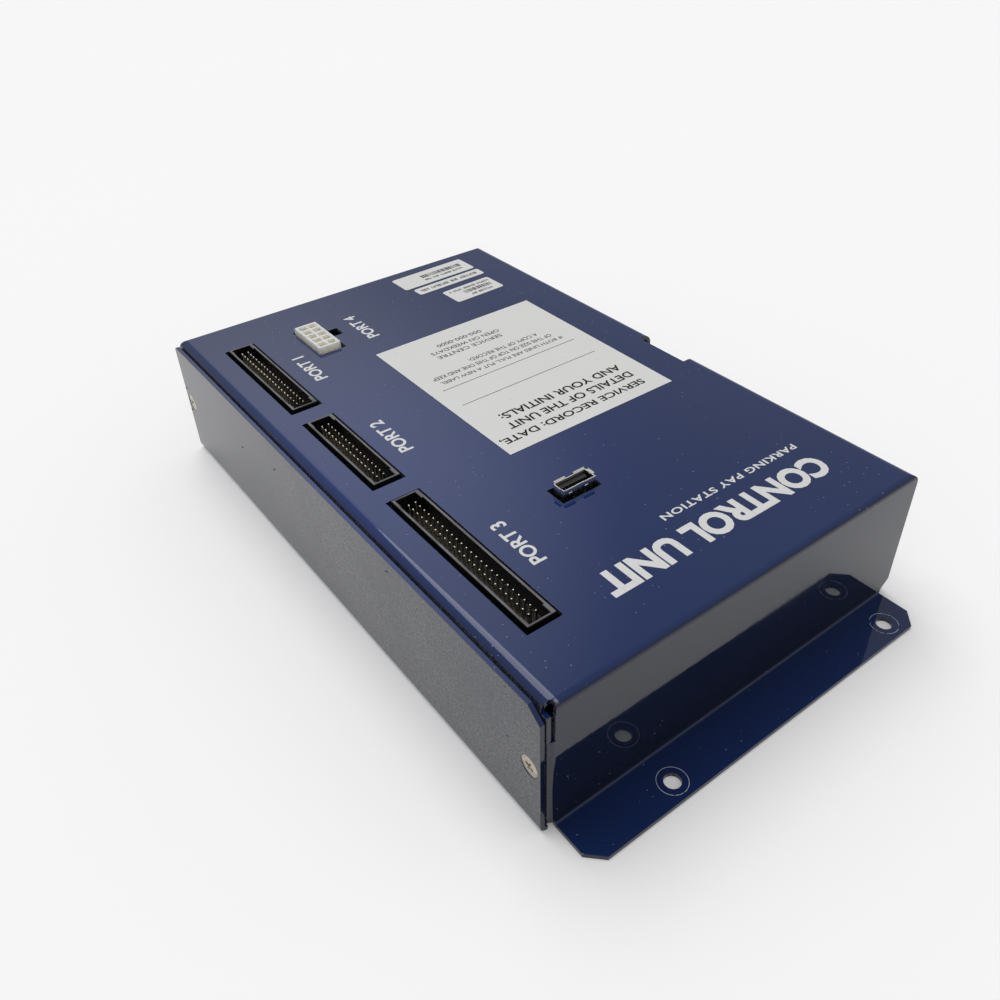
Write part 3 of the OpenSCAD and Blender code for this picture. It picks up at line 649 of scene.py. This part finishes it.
def screw_mesh(head_r, length):
    """Countersunk screw that points along +Z, with a rolled thread and a cross recess."""
    cone_end = SCREW_RIM + head_r - SCREW_SHANK_R
    thread_start = cone_end + 0.4
    threaded = length - SCREW_POINT - cone_end

    def thread(radius, z, angle):
        """The head, the top of the shank and the point are plain; the rest has a V-shaped thread."""
        if z < thread_start or radius < SCREW_SHANK_R - 0.01:
            return radius
        turn = (z / SCREW_THREAD_PITCH - angle / (2 * math.pi)) % 1
        return radius - SCREW_THREAD_DEPTH * abs(2 * turn - 1)

    def build(shape):
        corner = 0.3 * SCREW_ROUNDING
        profile = [
            (head_r - SCREW_ROUNDING, SCREW_FACE),
            (head_r - corner, SCREW_FACE + corner),
            (head_r, SCREW_RIM),
            (SCREW_SHANK_R, cone_end),
        ]
        steps = int(threaded * RINGS_PER_TURN / SCREW_THREAD_PITCH)
        for k in range(steps):
            profile.append((SCREW_SHANK_R, cone_end + threaded * (k + 1) / steps))
        profile.append((SCREW_SHANK_R - SCREW_POINT_TAPER, length))
        rings(shape, profile, SCREW_SIDES, thread)

    def build_recess(shape):
        mouth = cross(**SCREW_RECESS_MOUTH)
        floor = cross(**SCREW_RECESS_FLOOR)
        prism(shape, floor, SCREW_RECESS_START, SCREW_RECESS_END, lower=mouth)

    return cut(mesh_of("screw", build), mesh_of("recess", build_recess))


def cover_screws(material):
    """Four screws with thread and cross recess, in place of the CAD's plain ones."""
    for number, turn in SCREW_TURNS.items():
        node = f"cover_screw_{number}"
        low, high = box_of(node)
        middle = (low + high) / 2
        outward = 1 if middle.y > 0 else -1
        start = middle.y + outward * ((high.y - low.y) / 2 + SCREW_FACE)
        mesh = screw_mesh((high.x - low.x) / 2, high.y - low.y + SCREW_FACE)
        mesh.transform(
            Matrix.Translation(Vector((middle.x, start, middle.z)) * MM)
            @ Matrix.Rotation(math.radians(90 * outward), 4, "X")
            @ Matrix.Rotation(math.radians(turn), 4, "Z")
        )
        smooth(mesh, 40)
        screw = new_piece(f"{node}_threaded", mesh, material, f"screw_{number}")
        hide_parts(node)


# ---------- prints ----------

def text_mesh(words, height, width=None, spacing=1.0, weight=0.0):
    """Flat lettering that starts at the origin and runs along +X, with that cap height and width."""
    curve = bpy.data.curves.new("words", "FONT")
    curve.body = words
    curve.size = 1
    curve.space_character = spacing
    curve.offset = weight
    curve.extrude = 0.01
    curve.resolution_u = 4
    holder = placed_object("words", curve)
    bpy.context.view_layer.update()
    mesh = bpy.data.meshes.new_from_object(holder.evaluated_get(bpy.context.evaluated_depsgraph_get()))
    bpy.data.objects.remove(holder)
    low = Vector([min(v.co[k] for v in mesh.vertices) for k in range(3)])
    high = Vector([max(v.co[k] for v in mesh.vertices) for k in range(3)])
    tall = height / (high.y - low.y)
    wide = width / (high.x - low.x) if width else tall
    thick = INK_THICKNESS / (high.z - low.z)
    mesh.transform(Matrix.Translation(-low))
    mesh.transform(Matrix.Diagonal((wide * MM, tall * MM, thick * MM, 1)))
    return mesh


def lay_print(name, mesh, material, at, turn, surface):
    """Turns a print about Z and lays it on a surface, with its start and baseline at a point."""
    mesh.transform(Matrix.Rotation(math.radians(turn), 4, "Z"))
    mesh.transform(Matrix.Translation(Vector((at[0], at[1], surface + INK_GAP)) * MM))
    return new_piece(name, mesh, material)


# Where each port's number starts, on its baseline
PORTS = {
    "port_1": (-55.5, -41.3),
    "port_2": (6.0, -41.3),
    "port_3": (78.4, -41.3),
    "port_4": (-72.5, -8.2),
}
PORT_CAPS = 5.2


def top_prints(material):
    """Port numbers beside the connectors, and the unit's plain name along the end."""
    _, high = box_of("top_housing")
    for port, start in PORTS.items():
        mesh = text_mesh(port.replace("_", " ").upper(), PORT_CAPS, weight=0.025)
        lay_print(f"print_{port}", mesh, material, start, 180, high.z)
    mesh = text_mesh("CONTROL UNIT", 10.6, 96, weight=0.045)
    lay_print("print_unit_name", mesh, material, (92.6, 59), -90, high.z)
    mesh = text_mesh("PARKING PAY STATION", 2.8, 62, spacing=1.1, weight=0.022)
    lay_print("print_unit_use", mesh, material, (84.8, 59.3), -90, high.z)


def bars(shape, boxes):
    """Boxes of ink, each (x, y, width, depth) about its middle."""
    for x, y, width, depth in boxes:
        prism(shape, rectangle(x, y, width, depth), 0, INK_THICKNESS)


# Width of a greeked letter's stem and of the whole letter, as parts of its height
STEM = 0.16
LETTER = 0.55


def greeked_line(length, height, start):
    """Boxes that stand for a line of small print: uneven strokes in groups, like words."""
    boxes = []
    x, base = start
    end = x + length
    stem = STEM * height
    letter = LETTER * height
    middle = base + height / 2
    letters = random.randint(3, 8)
    while x < end:
        if letters == 0:
            letters = random.randint(3, 8)
            x += letter
            continue
        boxes.append((x + stem / 2, middle, stem, height))
        shape = random.choice(("three", "two", "box", "stem"))
        if shape in ("three", "box"):
            boxes.append((x + letter / 2, base + height - stem / 2, letter, stem))
        if shape in ("three", "two", "box"):
            boxes.append((x + letter / 2, middle, letter, stem))
        if shape in ("two", "box"):
            boxes.append((x + letter / 2, base + stem / 2, letter, stem))
        if shape == "box":
            boxes.append((x + letter - stem / 2, middle, stem, height))
        x += letter * (0.7 if shape == "stem" else 1.35)
        letters -= 1
    return boxes


def barcode(length, height, start):
    """Bars of random width."""
    boxes = []
    x, base = start
    end = x + length
    while x < end:
        width = random.choice((0.25, 0.25, 0.5, 0.75))
        boxes.append((x + width / 2, base + height / 2, width, height))
        x += width + random.choice((0.25, 0.5, 0.5))
    return boxes


# Lines of the large label: words, baseline along X, width, and for small print the indent.
# The rules are the two lines to write on.
HEADING = (
    ("SERVICE RECORD: DATE,", 20.8, 66.5),
    ("DETAILS OF THE UNIT", 14.3, 58.5),
    ("AND YOUR INITIALS:", 7.8, 57.0),
)
SMALL_PRINT = (
    ("IF BOTH LINES ARE FULL, PUT A NEW LABEL", -24.3, 59.0, 3.5),
    ("OF THIS SIZE ON TOP OF THIS ONE AND KEEP", -28.3, 57.5, 6.0),
    ("A COPY OF THE RECORD:", -32.4, 34.0, 10.0),
    ("SERVICE CENTRE", -41.4, 31.0, 21.5),
    ("OPEN ON WEEKDAYS", -45.4, 33.0, 20.0),
    ("000-000-0000", -49.7, 21.5, 26.0),
)
RULES = (-5.5, -18.3)
RULE_START = -1.0
RULE_LENGTH = 64.0
RULE_WIDTH = 0.25
HEADING_CAPS = 4.0
SMALL_PRINT_CAPS = 2.3
LABEL_MARGIN = 8.0
SMALL_PRINT_MARGIN = 6.0


def service_print(material):
    """Heading, two lines to write on, and small print on the large label."""
    _, high = box_of("service_label")
    start = high.y - LABEL_MARGIN
    for k, (words, x, width) in enumerate(HEADING, 1):
        mesh = text_mesh(words, HEADING_CAPS, width, weight=0.018)
        lay_print(f"print_heading_{k}", mesh, material, (x, start), -90, high.z)
    for k, (words, x, width, indent) in enumerate(SMALL_PRINT, 1):
        mesh = text_mesh(words, SMALL_PRINT_CAPS, width)
        place = (x, high.y - SMALL_PRINT_MARGIN - indent)
        lay_print(f"print_small_{k}", mesh, material, place, -90, high.z)

    def build(shape):
        middle = RULE_START + RULE_LENGTH / 2
        bars(shape, [(middle, x, RULE_LENGTH, RULE_WIDTH) for x in RULES])

    lay_print("print_rules", mesh_of("rules", build), material, (0, start), -90, high.z)


# Rows of print on the small labels, from each label's middle: kind, height, place across, start
# along it, and length. The labels were stuck on a little askew, by the turns in degrees.
SMALL_LABEL_ROWS = {
    "small_label_1": (("code", 3.0, -2.6, -15.5, 22), ("line", 1.5, 1.9, -14.5, 20)),
    "small_label_2": (("line", 2.0, -1.0, -15.0, 30),),
    "small_label_3": (
        ("line", 1.6, -4.4, -11.0, 21),
        ("code", 2.8, -1.6, -10.0, 15),
        ("line", 1.6, 2.7, -8.0, 11),
    ),
}
SMALL_LABEL_TURNS = {"small_label_1": 1.0, "small_label_2": 1.3, "small_label_3": 1.8}


def small_label_prints(material):
    """Bar codes and greeked print on the three small labels."""
    for node, rows in SMALL_LABEL_ROWS.items():
        low, high = box_of(node)
        middle = (low + high) / 2

        def build(shape):
            for kind, height, across, start, length in rows:
                draw = barcode if kind == "code" else greeked_line
                bars(shape, draw(length, height, (start, across)))

        mesh = mesh_of(f"{node}_print", build)
        turn = SMALL_LABEL_TURNS[node] - 90
        lay_print(f"print_{node}", mesh, material, (middle.x, middle.y), turn, high.z)


# The mark's inner and outer radius, and the chances that it ends or starts again at a step
WASHER_RING = (4.67, 4.83)
WASHER_MARK_THICKNESS = 0.01
WASHER_STEPS = 72
MARK_ENDS = 0.08
MARK_STARTS = 0.4


def broken_ring(shape):
    """Random stretches of the ring that a washer's edge has worn."""
    inner, outer = WASHER_RING
    worn = True
    for k in range(WASHER_STEPS):
        if random.random() < (MARK_ENDS if worn else MARK_STARTS):
            worn = not worn
        if not worn:
            continue
        corners = []
        for radius, step in ((inner, k), (outer, k), (outer, k + 1), (inner, k + 1)):
            angle = 2 * math.pi * step / WASHER_STEPS
            corners.append((radius * math.cos(angle), radius * math.sin(angle)))
        prism(shape, corners, 0, WASHER_MARK_THICKNESS)


def washer_marks(material):
    """Broken rings that washers have worn into the paint round the mounting holes."""
    pattern = next(m for m in frame["record"]["mounts"] if m["name"] == "flange_holes")
    _, middle, surface = (place / MM for place in pattern["pos_m"])
    half_x = pattern["dims"]["spacing_x_mm"] / 2
    half_y = pattern["dims"]["spacing_y_mm"] / 2
    for side, x in (("left", -half_x), ("right", half_x)):
        for end, y in (("front", middle - half_y), ("back", middle + half_y)):
            mesh = mesh_of("washer_mark", broken_ring)
            lay_print(f"washer_mark_{side}_{end}", mesh, material, (x, y), 0, surface)


# ---------- stage ----------

FLOOR_SIZE = 12000


def add_floor():
    """A wide floor at the height the unit stands on."""

    def build(shape):
        outline = rectangle(0, 0, FLOOR_SIZE, FLOOR_SIZE)
        shape.faces.new([shape.verts.new((x * MM, y * MM, 0)) for x, y in outline])

    floor = placed_object("floor", mesh_of("floor", build))
    floor.data.materials.append(floor_paper("floor_paper"))


def add_key():
    """The one lamp: a sun so broad that its shadows are soft."""
    light = bpy.data.lights.new("key", "SUN")
    light.energy = KEY_STRENGTH
    light.angle = math.radians(KEY_SPREAD)
    lamp = placed_object("key", light)
    lamp.rotation_mode = "QUATERNION"
    lamp.rotation_quaternion = Vector(KEY_DIRECTION).to_track_quat("Z", "Y")


def add_sky():
    """Pale to the camera; to the object, a grey room with one bright patch."""
    world = bpy.data.worlds.new("sky")
    bpy.context.scene.world = world
    world.use_nodes = True
    tree = world.node_tree
    tree.nodes.clear()
    link = tree.links.new

    facing = add_node(tree, "ShaderNodeVectorMath", operation="DOT_PRODUCT")
    facing.inputs[1].default_value = Vector(SKY_BRIGHT_TOWARDS).normalized()
    link(add_node(tree, "ShaderNodeTexCoord").outputs["Generated"], facing.inputs[0])
    level = add_step(tree, *SKY_FADE, SKY_DARK, SKY_BRIGHT)
    link(facing.outputs["Value"], level.inputs["Value"])

    room = add_node(tree, "ShaderNodeBackground")
    room.inputs["Color"].default_value = (1.0, 1.0, 1.0, 1)
    link(level.outputs["Result"], room.inputs["Strength"])
    pale = add_node(tree, "ShaderNodeBackground")
    pale.inputs["Color"].default_value = (SKY_CAMERA, SKY_CAMERA, SKY_CAMERA, 1)

    choice = add_node(tree, "ShaderNodeMixShader")
    link(add_node(tree, "ShaderNodeLightPath").outputs["Is Camera Ray"], choice.inputs["Fac"])
    link(room.outputs["Background"], choice.inputs[1])
    link(pale.outputs["Background"], choice.inputs[2])
    link(choice.outputs["Shader"], add_node(tree, "ShaderNodeOutputWorld").inputs["Surface"])


def add_camera():
    """The camera at the photograph's place."""
    data = bpy.data.cameras.new("camera")
    data.lens = CAMERA_LENS
    data.sensor_width = 36
    data.shift_x, data.shift_y = CAMERA_SHIFT
    data.clip_start = 0.01
    camera = placed_object("camera", data)
    turn = (
        Matrix.Rotation(math.radians(CAMERA_YAW), 4, "Z")
        @ Matrix.Rotation(math.radians(90 + CAMERA_PITCH), 4, "X")
        @ Matrix.Rotation(math.radians(CAMERA_ROLL), 4, "Z")
    )
    camera.matrix_world = Matrix.Translation(Vector(CAMERA_AT) * MM) @ turn
    bpy.context.scene.camera = camera


# ---------- the unit ----------

# Width of the rounded edges of the solid parts. The folded sheets' edges are in their paint, and
# the rest keep their own.
EDGES = {
    "header_40_shroud": 0.22,
    "header_32_shroud": 0.22,
    "header_50_shroud": 0.22,
    "power_connector_body": 0.15,
    "supply_connector_body": 0.12,
    "usb_shell": 0.04,
    "usb_tongue": 0.08,
    "heat_sink": 0.10,
    "capacitors": 0.60,
    "regulator": 0.15,
    "processor": 0.08,
    "memory_chips": 0.08,
    "flash_memory": 0.08,
    "inductors": 0.20,
    "coin_cell": 0.25,
    "coin_cell_holder": 0.15,
    "memory_card": 0.15,
    "card_socket": 0.08,
    "reset_frame": 0.10,
    "reset_plunger": 0.12,
    "switch_body": 0.12,
}


def paint_nodes():
    """Gives every CAD node the material of its slot, and rounds the edges of the solid ones."""
    slots = [*METALS, *MOULDINGS, *OTHERS]
    materials = {slot: slot_material(slot) for slot in slots}
    for part in frame["record"]["subparts"]:
        node = frame["nodes"][part["node"]]
        node.data.materials.clear()
        node.data.materials.append(materials[part["material_slot"]])
        if part["node"] in EDGES:
            soften(node, EDGES[part["node"]])
    return materials


def build():
    """The whole unit: finishes on the CAD nodes, finer pins and screws, and every print."""
    materials = paint_nodes()
    for node in ("header_40_pins", "header_32_pins", "header_50_pins"):
        header_pins(node, materials["gold_pins"])
    cover_screws(materials["nickel_steel"])
    white = ink("white_ink", (0.74, 0.75, 0.74), worn=0.10)
    black = ink("black_ink", (0.012, 0.012, 0.013), roughness=0.6, specular=0.12)
    worn = ink("worn_edge", (0.62, 0.66, 0.74), roughness=0.3, worn=0.5)
    top_prints(white)
    service_print(black)
    small_label_prints(black)
    washer_marks(worn)


bpy.context.scene.view_settings.view_transform = "Standard"
add_camera()
add_floor()
add_key()
add_sky()
build()
